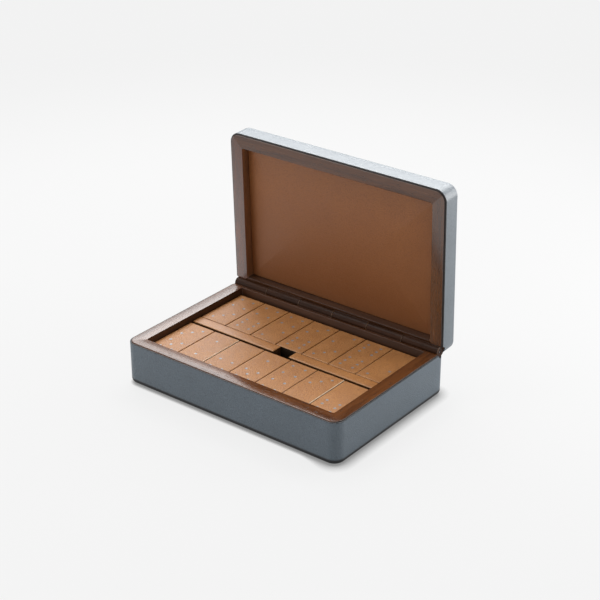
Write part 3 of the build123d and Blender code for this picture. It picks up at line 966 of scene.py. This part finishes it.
def closeBlock(form, depth):
    # walls and a bottom under the top, and rounded edges
    rim = [edge for edge in form.edges if edge.is_boundary]
    walls = bmesh.ops.extrude_edge_only(form, edges=rim)["geom"]
    bottom = [part for part in walls if isinstance(part, bmesh.types.BMVert)]
    bmesh.ops.translate(form, verts=bottom, vec=(0, 0, depth))
    bmesh.ops.holes_fill(form, edges=[edge for edge in form.edges if edge.is_boundary], sides=0)
    bmesh.ops.recalc_face_normals(form, faces=form.faces)
    square = [edge for edge in form.edges if edge.calc_face_angle(0) > tile["square"]]
    bmesh.ops.bevel(form, geom=square, offset=tile["edge"], segments=tile["edgeSteps"], profile=0.5,
                    affect="EDGES")


for row in (upperBackRow, upperFrontRow, lowerBackRow, lowerFrontRow):
    for backPips, frontPips in row:
        fewer, more = sorted((backPips, frontPips))
        makeDomino(f"domino_{fewer}_{more}", backPips, frontPips)
print("dominoes made")


# Floor, light and camera

# seen and the glows are what the camera gets of the floor, and floor and world are what lights the box;
# contact is the width of the painted shadow at the box's foot on the left and on the right, and turn is the
# length over which it widens
stage = {"size": 8.0, "floor": (0.62, 0.62, 0.62, 1), "roughness": 0.9, "seen": (0.057, 0.057, 0.057, 1),
         "seenGlow": 0.811, "farGlow": 0.89, "fade": (0.42, 0.88), "contact": (3.2 * mm, 9 * mm),
         "turn": 35 * mm, "contactGlow": 0.26, "contactFrom": 0.4, "contactRays": 8, "world": 0.44,
         "backdrop": (0.90, 0.90, 0.90, 1)}


def raysThatSee(tree):
    # 1 for what the camera sees, straight or in something glossy or clear
    rays = addNode(tree, "LightPath").outputs
    seen = mathOf(tree, "MAXIMUM", rays["Is Camera Ray"], rays["Is Glossy Ray"])
    return mathOf(tree, "MAXIMUM", seen, rays["Is Transmission Ray"])


def makeFloor():
    half = stage["size"] / 2
    corners = [(-half, -half, 0), (half, -half, 0), (half, half, 0), (-half, half, 0)]
    floor = meshPiece("floor", corners, [(0, 1, 2, 3)])
    material, tree, shader = newMaterial("floor")
    shader.inputs["Base Color"].default_value = stage["floor"]
    shader.inputs["Roughness"].default_value = stage["roughness"]
    shader.inputs["Specular IOR Level"].default_value = 0.0
    # the camera sees a paler floor, which still takes the object's shadow
    place = ownPlace(tree)
    distance = addNode(tree, "VectorMath", {"operation": "LENGTH"}, i0=place).outputs["Value"]
    away = fromTo(tree, distance, *stage["fade"], smooth=True)
    seen = addNode(tree, "BsdfDiffuse", None, Color=mixColour(tree, away, stage["seen"], (0, 0, 0, 1)))
    # painted shadow: occlusion dims the floor's glow at the foot, wider on the right,
    # as the main light comes from the left
    across = addNode(tree, "SeparateXYZ", None, i0=place).outputs["X"]
    rightSide = (leatherHalfLength - stage["turn"], leatherHalfLength)
    reach = fromTo(tree, across, *rightSide, *stage["contact"], smooth=True)
    near = addNode(tree, "AmbientOcclusion", {"samples": stage["contactRays"]}, Distance=reach).outputs["AO"]
    level = fromTo(tree, near, stage["contactFrom"], 1.0, stage["contactGlow"], stage["seenGlow"])
    rise = mathOf(tree, "MULTIPLY", away, stage["farGlow"] - stage["seenGlow"])
    glow = addNode(tree, "Emission", None, Strength=mathOf(tree, "ADD", level, rise))
    pale = addNode(tree, "AddShader", None, i0=seen.outputs[0], i1=glow.outputs[0])
    both = addNode(tree, "MixShader", None, i0=raysThatSee(tree), i1=shader.outputs[0], i2=pale.outputs[0])
    tree.links.new(both.outputs[0], tree.nodes["Material Output"].inputs["Surface"])
    floor.data.materials.append(material)


def makeWorld():
    world = bpy.data.worlds.new("studio")
    bpy.context.scene.world = world
    world.use_nodes = True
    tree = world.node_tree
    plain = tree.nodes["Background"]
    plain.inputs["Color"].default_value = (1, 1, 1, 1)
    plain.inputs["Strength"].default_value = stage["world"]
    seen = addNode(tree, "Background", None, Color=stage["backdrop"])
    both = addNode(tree, "MixShader", None, i0=raysThatSee(tree), i1=plain.outputs[0], i2=seen.outputs[0])
    tree.links.new(both.outputs[0], tree.nodes["World Output"].inputs["Surface"])


lightAim = (0, 0.02, 0.06)  # the spot that all lamps face
lamps = {
    "backSoftbox": {"place": (-0.37, 0.80, 0.98), "size": (1.5, 0.9), "power": 27.0},
    "topSoftbox": {"place": (-0.50, -0.10, 1.10), "size": (0.7, 0.5), "power": 8.5},
    "sidePanel": {"place": (0.36, 0.38, 0.22), "size": (0.3, 0.3), "power": 1.95},
    "leftPanel": {"place": (-0.75, -0.80, 0.35), "size": (0.6, 0.6), "power": 2.5},
}


def makeLamps():
    target = Vector(lightAim)
    for name, lamp in lamps.items():
        light = bpy.data.lights.new(name, "AREA")
        light.shape = "RECTANGLE"
        light.size, light.size_y = lamp["size"]
        light.energy = lamp["power"]
        holder = bpy.data.objects.new(name, light)
        bpy.context.scene.collection.objects.link(holder)
        place = Vector(lamp["place"])
        holder.matrix_world = (Matrix.Translation(place)
                               @ (target - place).to_track_quat("-Z", "Y").to_matrix().to_4x4())


# solved from the box's straight edges in the photograph; angles in degrees, lens and sensor in millimetres
photoView = {"azimuth": 38.010, "elevation": 26.633, "roll": -0.045, "lens": 92.40, "sensor": 36,
             "place": (0.64265, -0.80328, 0.59072), "nearest": 0.01}


def makeCamera():
    camera = bpy.data.cameras.new("camera")
    camera.lens = photoView["lens"]
    camera.sensor_width = photoView["sensor"]
    camera.clip_start = photoView["nearest"]
    holder = bpy.data.objects.new("camera", camera)
    bpy.context.scene.collection.objects.link(holder)
    holder.matrix_world = (Matrix.Translation(Vector(photoView["place"]))
                           @ Matrix.Rotation(math.radians(photoView["azimuth"]), 4, "Z")
                           @ Matrix.Rotation(math.radians(90 - photoView["elevation"]), 4, "X")
                           @ Matrix.Rotation(math.radians(photoView["roll"]), 4, "Z"))
    bpy.context.scene.camera = holder


makeFloor()
makeWorld()
makeLamps()
makeCamera()
bpy.context.scene.view_settings.view_transform = "Standard"
print("stage set")
